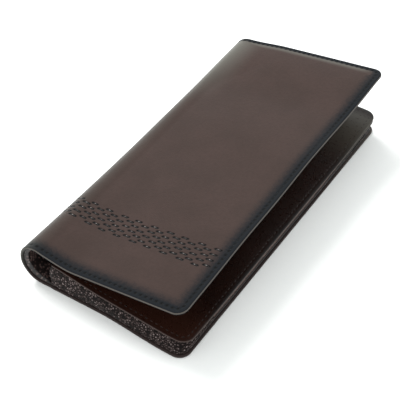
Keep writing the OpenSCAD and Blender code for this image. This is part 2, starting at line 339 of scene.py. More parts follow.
# Where the hide's grid has its lines: close together at the edges and under the stitched rows
edge_lines = np.array([0, .12, .35, .7, 1.0, 1.5, 2.0, 2.4, 2.8, 3.3, 3.9, 4.3, 5.0, 6.0])
row_count, row_pitch, first_row = 8, 1.73, -66.85
rows_near, rows_far = first_row - 1.5, first_row + row_count * row_pitch


def lines_across():
    """Fixed places between the two edge bands, from the near end to the far end."""
    reach = half_length - edge_lines[-1]
    return np.unique(np.concatenate([
        np.linspace(-reach, rows_near, 16)[1:], np.arange(rows_near, rows_far, 0.41),
        np.linspace(rows_far, reach, 105)[:-1]]))


def lines_along(low, high, step):
    """Evenly spaced places from low to high, about a step apart."""
    return np.linspace(low, high, max(2, int(round((high - low) / step)) + 1))


def side_places(s, length, radius, s_low, s_high, bands, inner):
    """Rows of y for each s: bands inset from the rounded outline, then fixed lines between."""
    from_end = np.minimum(s - s_low, s_high - s)
    cut = np.clip(radius - from_end, 0, radius)
    reach = length - radius + np.sqrt(np.clip(radius ** 2 - cut ** 2, 0, None))
    squeeze = (reach - bands[-1]) / (length - bands[-1])
    near = -reach[None, :] + bands[:, None]
    middle = inner[:, None] * squeeze[None, :]
    return np.concatenate([near, middle, -near[::-1]])


def grid_faces(rows, columns):
    """The four corners of every face of a grid of points."""
    corner = (np.arange(rows - 1)[:, None] * columns + np.arange(columns - 1)).reshape(-1)
    return np.stack([corner, corner + 1, corner + columns + 1, corner + columns], axis=1)


def make_piece(name, points, faces, finish, stored=None, normals=None):
    """A mesh piece from points in mm."""
    mesh = bpy.data.meshes.new(name)
    mesh.from_pydata((np.asarray(points) * MM).tolist(), [], [list(map(int, f)) for f in faces])
    mesh.polygons.foreach_set("use_smooth", np.ones(len(mesh.polygons), bool))
    for key, values in (stored or {}).items():
        values = np.asarray(values, np.float32)
        kind, field = ("FLOAT", "value") if values.ndim == 1 else ("FLOAT_VECTOR", "vector")
        mesh.attributes.new(key, kind, "POINT").data.foreach_set(field, values.ravel())
    mesh.materials.append(finish.material)
    mesh.validate()
    if normals is not None:
        mesh.normals_split_custom_set_from_vertices(np.asarray(normals).tolist())
    piece = bpy.data.objects.new(name, mesh)
    bpy.context.scene.collection.objects.link(piece)
    return piece


def facing(grid):
    """Unit normals of a grid of points."""
    down, across = np.gradient(grid, axis=0), np.gradient(grid, axis=1)
    normal = np.cross(across, down)
    return normal / np.maximum(np.linalg.norm(normal, axis=-1, keepdims=True), 1e-9)


def closed_sheet(name, top, bottom, finish, stored=None, columns=(None, None)):
    """A closed sheet from its upper and lower grids, or from some of their columns."""
    part = slice(*columns)
    normals = np.stack([facing(top)[:, part], -facing(bottom)[:, part]]).reshape(-1, 3)
    top, bottom = top[:, part], bottom[:, part]
    rows, cols = top.shape[:2]
    count = rows * cols
    index = np.arange(count).reshape(rows, cols)
    border = np.concatenate([index[0, :-1], index[:-1, -1], index[-1, :0:-1], index[:0:-1, 0]])
    after = np.roll(border, -1)
    faces = np.concatenate([
        grid_faces(rows, cols),
        grid_faces(rows, cols)[:, ::-1] + count,
        np.stack([after, border, border + count, after + count], axis=1)])
    kept = {key: np.concatenate([value[:, part].reshape(count, *value.shape[2:])] * 2)
            for key, value in (stored or {}).items()}
    kept["face"] = np.repeat([1.0, 0.0], count)
    points = np.concatenate([top.reshape(-1, 3), bottom.reshape(-1, 3)])
    return make_piece(name, points, faces, finish, kept, normals)


def leather(name, colours, edge_colour, edge_depth, roughness, grain, grain_depth,
            line=None, line_from=None, valley_shade=None, glint=None, stored_grain=False):
    """Leather: mottled colour, burnished edges and grain in millimetres, all laid on the hide.

    line is the colour and width of a lighter, rubbed edge that also stands in for a painted highlight
    on the top of the rounded edge; it starts at line_from along the hide.
    valley_shade and glint are the painted shade between the pebbles and the painted glints on the
    highest ones.
    """
    made = Finish(name)
    flat = made.stored("flat").outputs["Vector"]
    edge = made.stored("edge").outputs["Fac"]
    cloud = made.noise(flat, 0.045, 4.0, 0.6)
    mottle = made.noise(flat, 0.55, 3.0, 0.6)
    fine = made.noise(flat, 2.1, 2.0, 0.6)
    colour = made.blend(made.between(cloud, 0.32, 0.68), colours[0], colours[1])
    colour = made.blend(made.between(mottle, 0.35, 0.75, 0.0, 0.45), colour, colours[2])
    rub = made.reckon("ADD", edge, made.swing(mottle, 5.0))
    rub = made.reckon("ADD", rub, made.swing(fine, 3.0))
    burnt = made.between(rub, edge_depth * 0.25, edge_depth, 1.0, 0.0)
    colour = made.blend(burnt, colour, edge_colour)
    pores = made.cells(flat, 1 / grain)
    creases = made.noise(flat, 0.35 / grain, 3.0, 0.65)
    # Painted shade darkens the colour between the pebbles
    if valley_shade:
        tops = (made.stored("grain").outputs["Fac"] if stored_grain
                else made.between(pores, 0.2, 0.6, 1.0, 0.0))
        colour = made.blend(made.between(tops, 0.15, 0.75), valley_shade, colour)
    # Painted glints on the highest pebbles, broken up by noise
    if glint:
        shine = made.times(made.between(tops, 0.5, 0.9), made.between(fine, 0.50, 0.60))
        colour = made.blend(shine, colour, glint)
    if line:
        line_colour, line_width = line
        # The edge line on the top face is rubbed wear and also a painted highlight where the rounded
        # edge catches the light
        edge_wear_and_highlight = made.reckon("ADD", edge, made.swing(fine, line_width))
        edge_wear_and_highlight = made.times(made.between(edge_wear_and_highlight, line_width * 0.5, line_width, 1.0, 0.0),
                          made.between(made.stored("face").outputs["Fac"], 0.45, 0.75))
        if line_from is not None:
            edge_wear_and_highlight = made.times(edge_wear_and_highlight, made.between(made.axes(flat)[0], line_from, line_from + 10.0))
        colour = made.blend(edge_wear_and_highlight, colour, line_colour)
    made.colour(colour)
    made.relief(made.reckon("ADD", made.times(pores, 0.6), creases), grain_depth)
    gloss = made.reckon("SUBTRACT", roughness, made.swing(creases, 0.22))
    made.roughness(made.reckon("ADD", gloss, made.times(burnt, 0.08)))
    return made


# The cover's edge line, from the roll on, is rubbed wear and also a painted highlight on the rounded
# edge
cover_finish = leather(
    "cover_leather", ((0.0445, 0.0275, 0.0240), (0.0375, 0.0235, 0.0202), (0.0322, 0.0200, 0.0175)),
    (0.0045, 0.0060, 0.0085), 9.2, 0.44, 0.55, 0.05, line=((0.085, 0.074, 0.066), 0.22),
    line_from=88.0)
cover_finish.set("Specular IOR Level", 0.17)
cover_s, cover_y = cover_finish.axes(cover_finish.stored("flat").outputs["Vector"])
cover_colour = cover_finish.colour_so_far()

# Painted sheen: the roll is tinted grey green, and the far end and its rim pale grey, for the room's
# reflection on the curving leather
roll_sheen = cover_finish.times(cover_finish.between(cover_s, 84.0, 96.0),
                             cover_finish.between(cover_s, 97.0, 112.0, 1.0, 0.0))
cover_colour = cover_finish.blend(
    cover_finish.times(roll_sheen, 0.65), cover_colour, (0.046, 0.045, 0.038))
far_end = cover_finish.times(cover_finish.between(cover_y, 30.0, 88.0),
                             cover_finish.between(cover_s, 97.0, 122.0, 1.0, 0.0))
far_side = cover_finish.between(cover_y, 88.5, 92.0)
far_sheen = cover_finish.reckon("MAXIMUM", far_end, cover_finish.times(far_side, 0.55))
far_sheen = cover_finish.times(far_sheen, cover_finish.between(cover_y, 91.2, 92.8, 0.85, 0.0))
far_sheen = cover_finish.times(far_sheen, cover_finish.between(cover_s, 176.0, 186.0, 1.0, 0.0))
cover_colour = cover_finish.blend(far_sheen, cover_colour, (0.155, 0.155, 0.138))

# The back and its edges are plain brown, and painted shade darkens the leather in and round each stitch
# hole and in the dips under the rows
on_back = cover_finish.between(cover_s, 82.0, 98.0, 0.8, 0.0)
cover_colour = cover_finish.blend(on_back, cover_colour, (0.034, 0.022, 0.020))
hole_shade = cover_finish.times(cover_finish.stored("dark").outputs["Fac"],
                          cover_finish.stored("face").outputs["Fac"])
cover_finish.colour(cover_finish.blend(
    cover_finish.between(hole_shade, 0.04, 0.5, 0.0, 0.96), cover_colour, (0.0012, 0.0012, 0.0015)))

hide_s = np.unique(np.concatenate([
    edge_lines, lines_along(edge_lines[-1], roll_start, 0.9),
    lines_along(roll_start, cut_lower, 0.7), lines_along(cut_lower, cut_middle, 0.7),
    lines_along(cut_middle, cut_upper, 0.7), lines_along(cut_upper, flap_start, 0.6),
    lines_along(flap_start, hide_width - edge_lines[-1], 0.62), hide_width - edge_lines]))
hide_y = side_places(hide_s, half_length, corner_at(hide_s), 0, hide_width, edge_lines,
                     lines_across())
hide_s_grid = np.broadcast_to(hide_s, hide_y.shape)
hide_edge = inset(hide_s_grid, hide_y)
hide_flat = np.stack([hide_s_grid, hide_y, np.zeros_like(hide_y)], axis=-1)

seam_inset, seam_pitch, seam_depth = 2.4, 2.8, 0.07
turned_edge, leather_thickness = 4.0, 1.1
stitch_run, stitch_cycle = 2.7, 8.69
rows_from, rows_to = 89.33, flap_start + 74.9
row_hole_depth, row_groove, seam_hole_depth, hole_width = 0.34, 0.16, 0.22, 0.62


def round_seam(low, high, reach, radius, pitch, gap):
    """Starts and ends of stitches along a rounded outline, as rows of s0, y0, s1, y1."""
    corners = ((low, -reach, 180), (high, -reach, 270), (high, reach, 0), (low, reach, 90))
    points = [(s + math.copysign(radius, (low + high) / 2 - s)
               + radius * math.cos(math.radians(start + turn)),
               y - math.copysign(radius, y) + radius * math.sin(math.radians(start + turn)))
              for s, y, start in corners for turn in range(0, 91, 9)]
    points = np.array(points + points[:1])
    length = np.concatenate([[0], np.cumsum(np.hypot(*np.diff(points, axis=0).T))])
    count = int(round(length[-1] / pitch))
    starts = np.arange(count) * length[-1] / count
    ends = starts + pitch * (1 - gap)

    def at(t):
        return [np.interp(t, length, points[:, axis]) for axis in (0, 1)]
    return np.stack([*at(starts), *at(ends)], axis=1)


cover_runs = round_seam(seam_inset, hide_width - seam_inset, half_length - seam_inset,
                        flap_corner - seam_inset, seam_pitch, 0.3)


def row_stitches(row):
    """Starts and ends along s of the running stitches in a row; every other row is shifted."""
    first = rows_from + (row % 2) * stitch_cycle / 2
    starts = np.arange(first, rows_to - stitch_run, stitch_cycle)
    uneven = 0.35 * np.sin(starts * 1.7 + row * 2.3)
    return np.stack([starts + uneven, starts + uneven + stitch_run + 0.3 * uneven], axis=1)


def dip(distance, width):
    """A round-bottomed dip, 1 in the middle."""
    return np.exp(-(distance / width) ** 2)


def pulled_down(s, y):
    """How far the decorative rows pull the leather down, in mm."""
    depth = np.zeros_like(y)
    for row in range(row_count):
        near = dip(y - first_row - row * row_pitch, 0.45)
        for start, end in row_stitches(row):
            for hole in (start, end):
                depth += row_hole_depth * near * dip(s - hole, 0.6)
            under = smooth((s - start) / 0.9 + 0.5) * (1 - smooth((s - end) / 0.9 + 0.5))
            depth += row_groove * near * under
    return depth


def near_holes(s, y, edge):
    """How close a spot is to a hole of the seam, from 0 to 1."""
    holes = kdtree.KDTree(len(cover_runs))
    for index, (hole_s, hole_y, *_) in enumerate(cover_runs):
        holes.insert((hole_s, hole_y, 0.0), index)
    holes.balance()
    close = np.zeros(s.shape)
    for spot in np.argwhere(np.abs(edge - seam_inset) < 1.6):
        spot = tuple(spot)
        distance = holes.find((s[spot], y[spot], 0.0))[2]
        close[spot] = dip(distance, hole_width)
    return close


def outer_lift(edge):
    """The outside is rounded at the edge, with a groove for the seam and a crease inside it."""
    rolled = 0.3 + (half_cover - 0.3) * np.sqrt(1 - (1 - np.clip(edge / 0.7, 0, 1)) ** 2)
    groove = seam_depth * dip(edge - seam_inset, 0.38)
    crease = 0.03 * dip(edge - 4.4, 0.4)
    return rolled - groove - crease - hide_pull


def inner_lift(edge):
    """The turned edge lies under the lining; further in, the leather lies on the board."""
    rolled = -0.15 - (0.5 - 0.15) * np.sqrt(1 - (1 - np.clip(edge, 0, 1)) ** 2)
    return np.where(edge > turned_edge, half_cover - leather_thickness, rolled)


hide_pull = pulled_down(hide_s_grid, hide_y)
hide_holes = near_holes(hide_s_grid, hide_y, hide_edge)
hide_pull = hide_pull + seam_hole_depth * hide_holes
# Painted shade, kept as the 'dark' attribute: near black in the stitch holes and in the dips under the
# rows
hide_hole_shade = np.clip(np.maximum(hide_pull / 0.24, hide_holes), 0, 1)
# The far edge is burnished only on its rim: inside that, for the dye, it counts as further in
hide_dye = np.where(hide_edge < half_length - np.abs(hide_y) - 0.01, hide_edge,
                    hide_edge + 4.2 * smooth((hide_y - 60) / 30) * smooth((hide_edge - 1.9) / 1.6))
outer = on_hide(hide_s_grid, hide_y, outer_lift(hide_edge))
inner = on_hide(hide_s_grid, hide_y, inner_lift(hide_edge))


def column_of(s, places):
    return int(np.argmin(np.abs(places - s)))


# The four lengths of the hide: each bends round one fold, and they meet where the roll is flat
lengths = (
    ("back", 0.0, cut_lower, "back", "fold_lower", roll_start, 0),
    ("roll_lower", cut_lower, cut_middle, "fold_lower", "fold_middle", cut_lower, 1),
    ("roll_upper", cut_middle, cut_upper, "fold_middle", "fold_upper", cut_middle, 2),
    ("flap", cut_upper, hide_width, "fold_upper", "flap", cut_upper, 3),
)


def bend_with(piece):
    """A piece on one of the four lengths has its placement baked into its mesh."""
    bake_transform(piece)


def along_hide(name, top, bottom, finish, stored, places):
    """A layer of the wallet in its four lengths."""
    made = []
    for label, low, high, *_, number in lengths:
        columns = (column_of(low, places), column_of(high, places) + 1)
        piece = closed_sheet(f"{name}_{label}", top, bottom, finish, stored, columns)
        bend_with(piece)
        made.append(piece)
    return made


cover = along_hide("hide", outer, inner, cover_finish,
                   {"flat": hide_flat, "edge": hide_dye, "dark": hide_hole_shade}, hide_s)
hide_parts("cover_back")
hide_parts("cover_fold_lower")
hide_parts("cover_fold_middle")
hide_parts("cover_fold_upper", "cover_flap")

# ---- Boards ------------------------------------------------------------------------------
# A sheet of bonded fibre board, 0.4 mm thick, stiffens the back and another the flap. They are
# cut 4.2 mm short of the edge all round and glued in under the turned edge.

board_finish = Finish("bonded_board")
board_flat = board_finish.stored("flat").outputs["Vector"]
board_fibres = board_finish.noise(board_finish.scaled(board_flat, (0.4, 2.2, 1.0)), 1.2, 4.0, 0.7)
board_finish.colour(board_finish.blend(board_fibres, (0.30, 0.22, 0.15), (0.42, 0.33, 0.24)))
board_finish.relief(board_fibres, 0.03)
board_finish.roughness(0.85)
board_gap, board_radius, board_low, board_high = 4.2, 4.0, -0.48, -0.12
for board, low, high in (("back", board_gap, roll_start - 0.5),
                         ("flap", flap_start + 0.5, hide_width - board_gap)):
    board_s = lines_along(low, high, 2.0)
    from_end = np.minimum(board_s, hide_width - board_s) - board_gap
    cut = np.clip(board_radius - from_end, 0, board_radius)
    reach = half_length - board_gap - board_radius + np.sqrt(board_radius ** 2 - cut ** 2)
    board_y = np.linspace(-1, 1, 70)[:, None] * reach
    board_s = np.broadcast_to(board_s, board_y.shape)
    flat = np.stack([board_s, board_y, np.zeros_like(board_y)], axis=-1)
    piece = closed_sheet(f"stiffener_{board}", on_hide(board_s, board_y, board_high),
                         on_hide(board_s, board_y, board_low), board_finish, {"flat": flat})
    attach(piece, board)
    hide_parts(f"board_{board}")

# ---- Lining ------------------------------------------------------------------------------
# Grained red-brown leather, 0.5 mm thick, lines the back, the roll and the flap. It is glued
# over the turned edge, 1.2 mm in from the outline, and over a soft strip that fills the roll
# and is thicker at the far end.

# The lining's pebbles get painted shade between them and painted glints on their tops
lining_finish = leather(
    "lining_leather", ((0.075, 0.044, 0.039), (0.055, 0.032, 0.029), (0.100, 0.062, 0.056)),
    (0.020, 0.012, 0.011), 0.8, 0.42, 1.2, 0.16, valley_shade=(0.008, 0.005, 0.005),
    glint=(0.17, 0.130, 0.122))
lining_inset, lining_leather, roll_filler, far_filler = 1.2, 0.5, 1.3, 2.2
lining_bands = np.array([0, .12, .3, .6, 0.9, 1.2, 1.5, 2.2, 3.5])
lining_s = np.unique(np.concatenate([
    lining_inset + lining_bands, lines_along(lining_inset + 3.5, roll_start, 1.6),
    lines_along(roll_start, cut_lower, 0.9), lines_along(cut_lower, cut_middle, 0.9),
    lines_along(cut_middle, cut_upper, 0.9), lines_along(cut_upper, flap_start, 0.9),
    lines_along(flap_start, hide_width - lining_inset - 3.5, 1.6),
    hide_width - lining_inset - lining_bands]))
lining_y = side_places(
    lining_s, half_length - lining_inset, corner_at(lining_s) - lining_inset, lining_inset,
    hide_width - lining_inset, lining_bands, lines_along(-90.2, 90.2, 1.9)[1:-1])
lining_s_grid = np.broadcast_to(lining_s, lining_y.shape)
lining_edge = inset(lining_s_grid, lining_y) - lining_inset
lining_round = 0.25 * np.sqrt(1 - (1 - np.clip(lining_edge / 0.4, 0, 1)) ** 2)
lining_face = -half_cover + 0.25 - lining_round
lining_face = lining_face + 0.08 * dip(lining_edge - lining_inset, 0.35)
filled = roll_filler * smooth((lining_s_grid - 76) / 9) * (1 - smooth((lining_s_grid - 100) / 12))
filled = filled + far_filler * smooth((lining_y - 55) / 32) * (
    smooth((lining_s_grid - 92) / 10) * (1 - smooth((lining_s_grid - 122) / 11)))
lining_face = lining_face - filled * smooth(lining_edge / 1.2)
lining = along_hide(
    "inside", on_hide(lining_s_grid, lining_y, -half_cover + lining_leather - 0.03),
    on_hide(lining_s_grid, lining_y, lining_face), lining_finish,
    {"flat": np.stack([lining_s_grid, lining_y, np.zeros_like(lining_y)], axis=-1),
     "edge": lining_edge}, lining_s)
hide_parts("lining_back")
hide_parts("lining_fold_lower")
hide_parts("lining_fold_middle")
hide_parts("lining_fold_upper", "lining_flap")

# ---- Seam round the cover ----------------------------------------------------------------
# Dark waxed thread in a lock stitch of 2.8 mm, 2.4 mm in from the edge, goes through the cover
# and the lining and shows on both faces.

def twisted_thread(name, turns, dark, light, depth):
    """Waxed thread: dark and light strands wound together, with turns to the millimetre."""
    made = Finish(name)
    twist = made.node("TexWave", wave_type="BANDS", bands_direction="DIAGONAL")
    made.feed(twist.inputs["Vector"], made.stored("flat").outputs["Vector"])
    twist.inputs["Scale"].default_value = turns
    made.colour(made.blend(twist.outputs["Fac"], dark, light))
    made.relief(twist.outputs["Fac"], depth)
    return made


thread_finish = twisted_thread("seam_thread", 1.1, (0.002, 0.002, 0.003), (0.008, 0.008, 0.010), 0.05)
thread_finish.roughness(0.55)
thread_finish.set("Specular IOR Level", 0.25)


def stitches(name, place, runs, radius, level, side, finish, dip=0.45):
    """Rounded stitches whose ends go down into the leather. side is -1 on an inner face."""
    rings, corners = 8, 8
    t = np.linspace(0, 1, rings)
    runs = np.asarray(runs, float)
    direction = runs[:, 2:] - runs[:, :2]
    direction /= np.linalg.norm(direction, axis=1, keepdims=True)
    centre = runs[:, None, :2] + (runs[:, 2:] - runs[:, :2])[:, None, :] * t[None, :, None]
    arch = np.sin(np.pi * np.clip(t, 0.02, 0.98)) ** 0.45
    swell = radius * (0.55 + 0.45 * arch)
    angle = np.linspace(0, 2 * np.pi, corners, endpoint=False)
    aside = swell[:, None] * np.cos(angle)
    rise = swell[:, None] * np.sin(angle) - dip * (1 - arch)[:, None]
    s = centre[:, :, None, 0] - direction[:, None, None, 1] * aside[None]
    y = centre[:, :, None, 1] + direction[:, None, None, 0] * aside[None]
    lift = side * (level + rise)[None] + np.zeros_like(s)
    points = place(s, y, lift).reshape(-1, 3)
    flat = np.stack([s, y, lift], axis=-1).reshape(-1, 3)
    crown = arch[:, None] ** 3 * np.clip(np.sin(angle), 0, 1) + np.zeros_like(s)
    faces, around = [], np.arange(corners)
    for stitch in range(len(runs)):
        base = stitch * rings * corners
        for ring in range(rings - 1):
            low = base + ring * corners
            faces += [(low + a, low + b, low + corners + b, low + corners + a)[::side]
                      for a, b in zip(around, np.roll(around, -1))]
        last = base + (rings - 1) * corners
        faces.append(tuple(base + around)[::-side])
        faces.append(tuple(last + around)[::side])
    return make_piece(name, points, faces, finish, {"flat": flat, "crown": crown.reshape(-1)})


def sewn_along_hide(name, runs, radius, level, side, finish):
    """Stitches on the hide, sorted into its four lengths."""
    middle = (runs[:, 0] + runs[:, 2]) / 2
    made = {}
    for label, low, high, *_, number in lengths:
        mine = runs[(middle >= low) & (middle < high)]
        if len(mine):
            made[label] = stitches(f"{name}_{label}", on_hide, mine, radius, level, side, finish)
            bend_with(made[label])
    return made


thread_radius = 0.24
outer_seam = sewn_along_hide("seam_outside", cover_runs, thread_radius,
                             half_cover - thread_radius - 0.01, 1, thread_finish)
sewn_along_hide("seam_inside", cover_runs, thread_radius, half_cover - 0.12, -1, thread_finish)
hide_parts("thread_back")
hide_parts("thread_flap")

# ---- Decorative rows ---------------------------------------------------------------------
# Eight rows of running stitch in thicker waxed thread cross the flap near one end and go
# round the roll. Every other row is shifted by half a stitch, and the leather is drawn down
# at each hole.

row_finish = twisted_thread("accent_thread", 0.8, (0.003, 0.0025, 0.003), (0.010, 0.008, 0.009), 0.08)
# Painted glint: the crown of each stitch is lightened, broken up by noise, for the highlight on the
# waxed thread
row_glint_breakup = row_finish.noise(row_finish.stored("flat").outputs["Vector"], 0.35, 1.0)
row_glint = row_finish.times(
    row_finish.between(row_finish.stored("crown").outputs["Fac"], 0.8, 1.0),
    row_finish.between(row_glint_breakup, 0.42, 0.58, 0.15, 1.0))
row_finish.colour(row_finish.blend(row_glint, row_finish.colour_so_far(), (0.50, 0.44, 0.42)))
row_finish.roughness(0.36)
row_runs = []
for row in range(row_count):
    row_y = first_row + row * row_pitch
    row_runs += [(start, row_y, end, row_y) for start, end in row_stitches(row)]
row_runs = np.array(row_runs)
rows_sewn = sewn_along_hide("rows", row_runs, 0.42, half_cover - 0.26, 1, row_finish)
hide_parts("accent_stitches")

# ---- Card slots --------------------------------------------------------------------------
# A slip pocket is sewn to the flap's lining, and two columns of four card slots overlap on it.
# Each slot is 0.6 mm leather, held along its sides, so that its mouth stands open a little.

slot_finish = leather(
    "slot_leather", ((0.042, 0.020, 0.015), (0.030, 0.014, 0.011), (0.060, 0.032, 0.026)),
    (0.014, 0.009, 0.009), 1.4, 0.42, 0.7, 0.10)
fold_to_s = flap_start - roll_reach[3]
slot_leather, slot_base, slot_rise, pressed_near = 0.6, half_cover, 0.74, 0.7
column_margin, column_gap, first_mouth, slot_pitch, slot_overlap = 5.0, 2.0, 22.0, 10.5, 2.5
slots_end = flap_width - 3.0


def panel_edge(along, across):
    """How far each spot of a panel's grid is from its rim."""
    return np.minimum(np.minimum(along - along[0], along[-1] - along)[None, :],
                      np.minimum(across - across[0], across[-1] - across)[:, None])


def flap_panel(name, along, across, level, node, clear=0.0):
    """A leather panel on the inside of the flap, with a rounded rim and a crease inside it."""
    edge = panel_edge(along, across)
    thinned = slot_leather / 2 * (1 - np.sqrt(1 - (1 - np.clip(edge / 0.3, 0, 1)) ** 2))
    crease = 0.07 * dip(edge - 1.5, 0.22)
    s_grid = np.broadcast_to(fold_to_s + along, edge.shape)
    y_grid = np.broadcast_to(across[:, None], edge.shape)
    under, face = -level - clear - thinned, -level - slot_leather + thinned + crease
    flat = np.stack([s_grid, y_grid, under], axis=-1)
    piece = closed_sheet(name, on_hide(s_grid, y_grid, under), on_hide(s_grid, y_grid, face),
                         slot_finish, {"flat": flat, "edge": edge})
    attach(piece, "flap")
    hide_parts(node)


def with_edges(low, high, step):
    fine = np.array([0, 0.08, 0.25, 0.5, 1.2, 1.5, 1.8])
    return np.concatenate([low + fine, lines_along(low + 1.8, high - 1.8, step)[1:-1],
                           high - fine[::-1]])


slip_along = with_edges(first_mouth - 2, slots_end, 2.0)
slip_across = with_edges(-half_length + column_margin, half_length - column_margin, 2.5)
flap_panel("slip_panel", slip_along, slip_across, slot_base, "slip_pocket", 0.02)
column = half_length - column_margin - column_gap / 2
for side, near_end in (("near", -half_length + column_margin), ("far", column_gap / 2)):
    for number in range(4):
        mouth = first_mouth + number * slot_pitch
        tail = slots_end if number == 3 else mouth + slot_pitch + slot_overlap
        along = with_edges(mouth, tail, 1.2)
        across = with_edges(near_end, near_end + column, 1.6)
        open_here = 1 - (2 * (across - near_end) / column - 1) ** 6
        rise = slot_rise * (0.25 + 0.75 * open_here)
        rise = rise * (1 - pressed_near * smooth((-40 - across) / 30))
        rise = rise[:, None] * np.clip(1 - (along - mouth) / (tail - mouth), 0, 1)[None, :]
        flap_panel(f"slot_{side}_{number + 1}", along, across,
                   slot_base + slot_leather + 0.03 + rise, f"card_slot_{side}_{number + 1}")

# ---- Coin pocket: its two leathers -------------------------------------------------------
# A flat wedge-shaped pocket of glazed dark brown leather, 0.9 mm thick, lies over the bill
# compartment. Front and back are sewn together round three sides, 2.6 mm from the edge; the
# side towards the spine is left open for the zip. a runs over the pocket from that side, y
# along it and h up from its upper face.

pocket_corner = (-30.0, 16.6)
pocket_slope = math.radians(5.5)
pocket_width, pocket_half, pocket_radius = 75.0, 92.0, 6.0
pocket_mouth, pocket_toe, pocket_leather = 7.0, 3.0, 0.9
pocket_seam_inset = 2.6
opening_sag, near_sag, corner_curl, corner_push = 1.5, 1.8, 3.6, 1.1


def on_pocket(a, y, h):
    """The point in the wallet, in mm, of a spot on the coin pocket."""
    a, y, h = np.broadcast_arrays(*(np.asarray(v, float) for v in (a, y, h)))
    along, share = np.clip(a / pocket_width, 0, 1), np.clip(np.abs(y) / pocket_half, 0, 1)
    sag = opening_sag * along ** 2 * (1 - share ** 3)
    sag = sag + (near_sag * smooth(a / 28) * (1 - 0.6 * smooth((a - 62) / 13))
                 * smooth((-y - 20) / 55))
    sag = sag - corner_curl * smooth((y - 48) / 44) * along ** 1.5
    push = corner_push * smooth((y - 40) / 52) * along ** 1.5
    return np.stack([
        pocket_corner[0] + a * math.cos(pocket_slope) + h * math.sin(pocket_slope) + push, y,
        pocket_corner[1] - a * math.sin(pocket_slope) + h * math.cos(pocket_slope) - sag], axis=-1)


def pocket_inset(a, y):
    """How far a spot on the pocket is from its sewn edge."""
    from_toe, from_side = pocket_width - a, pocket_half - np.abs(y)
    in_corner = (from_toe < pocket_radius) & (from_side < pocket_radius)
    corner = pocket_radius - np.hypot(pocket_radius - from_toe, pocket_radius - from_side)
    return np.where(in_corner, corner, np.minimum(from_toe, from_side))


# Its edge line is a painted highlight on the rounded edge
pocket_finish = leather(
    "glazed_leather", ((0.0105, 0.0034, 0.0021), (0.0075, 0.0027, 0.0018), (0.017, 0.0062, 0.0040)),
    (0.005, 0.0025, 0.0022), 2.2, 0.30, 0.6, 0.035, line=((0.085, 0.062, 0.052), 0.15))
pocket_finish.set("Specular IOR Level", 0.40)
# Painted light: the far part is lightened for the room's reflection on the glazed leather, and the near
# end is lightened and warmed where the lamp falls
pocket_place = pocket_finish.axes(pocket_finish.stored("flat").outputs["Vector"])[1]
pocket_far_sheen = pocket_finish.times(pocket_finish.between(pocket_place, 45.0, 82.0, 0.0, 0.9),
                                 pocket_finish.between(pocket_place, 84.5, 89.5, 1.0, 0.0))
pocket_near_lit = pocket_finish.between(pocket_place, -86.0, -62.0, 0.55, 0.0)
pocket_colour = pocket_finish.blend(
    pocket_near_lit, pocket_finish.colour_so_far(), (0.030, 0.0098, 0.0058))
pocket_finish.colour(pocket_finish.blend(pocket_far_sheen, pocket_colour, (0.058, 0.050, 0.040)))
pocket_bands = np.array([0, .08, .25, .5, .9, 1.5, 2.1, 2.4, 2.6, 2.8, 3.1, 3.6, 4.6])
pocket_a = np.unique(np.concatenate([
    [0, 0.1, 0.3, 0.6, 1.0, 1.6, 2.4], lines_along(3.4, pocket_width - 4.6, 1.3),
    pocket_width - pocket_bands]))
pocket_y = side_places(pocket_a, pocket_half, pocket_radius, -100, pocket_width, pocket_bands,
                       lines_along(-87.4, 87.4, 1.7)[1:-1])
pocket_a = np.broadcast_to(pocket_a, pocket_y.shape)
pocket_edge = pocket_inset(pocket_a, pocket_y)
turned = np.minimum(np.clip(pocket_edge / 0.5, 0, 1), np.clip(pocket_a / 0.6, 0, 1))
pocket_rim = (pocket_leather / 2 - 0.04) * (1 - np.sqrt(1 - (1 - turned) ** 2))
pocket_groove = 0.05 * dip(pocket_edge - pocket_seam_inset, 0.5)
pocket_crease = 0.02 * dip(pocket_edge - 1.0, 0.3)
puff = 0.55 * smooth((pocket_edge - 3) / 14) * smooth(pocket_a / 14)
pocket_flat = np.stack([pocket_a, pocket_y, np.zeros_like(pocket_y)], axis=-1)
pocket_stored = {"flat": pocket_flat, "edge": np.minimum(pocket_edge, pocket_a + 0.6)}
coin_front = closed_sheet(
    "pocket_front", on_pocket(pocket_a, pocket_y, puff - pocket_rim - pocket_groove - pocket_crease),
    on_pocket(pocket_a, pocket_y, puff * 0.9 - pocket_leather + pocket_rim),
    pocket_finish, pocket_stored)
slack = 1.7  # how far the underside hangs at the opening edge


def underside_of(a, y):
    """The pocket's underside, h, which hangs slack along the opening edge."""
    hang = slack * smooth((a - 35) / 40) * smooth((62 - y) / 40)
    return -pocket_mouth + (pocket_mouth - pocket_toe) * a / pocket_width - hang


underside = underside_of(pocket_a, pocket_y)
coin_back = closed_sheet(
    "pocket_back",
    on_pocket(pocket_a, pocket_y, underside + pocket_leather - pocket_rim),
    on_pocket(pocket_a, pocket_y, underside + pocket_rim + pocket_groove),
    pocket_finish, {"flat": pocket_flat, "edge": pocket_stored["edge"] + 1.0})
for piece, node in ((coin_front, "coin_front"), (coin_back, "coin_back")):
    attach(piece, "coin_pocket")
    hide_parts(node)

# ---- Bill compartment gussets -------------------------------------------------------------
# Pebbled leather, 0.8 mm thick, closes the bill compartment at its two ends and along the
# spine. It is sewn down on the lining and up to the coin pocket. The near end stands out, the
# far end is folded in, as a bellows.

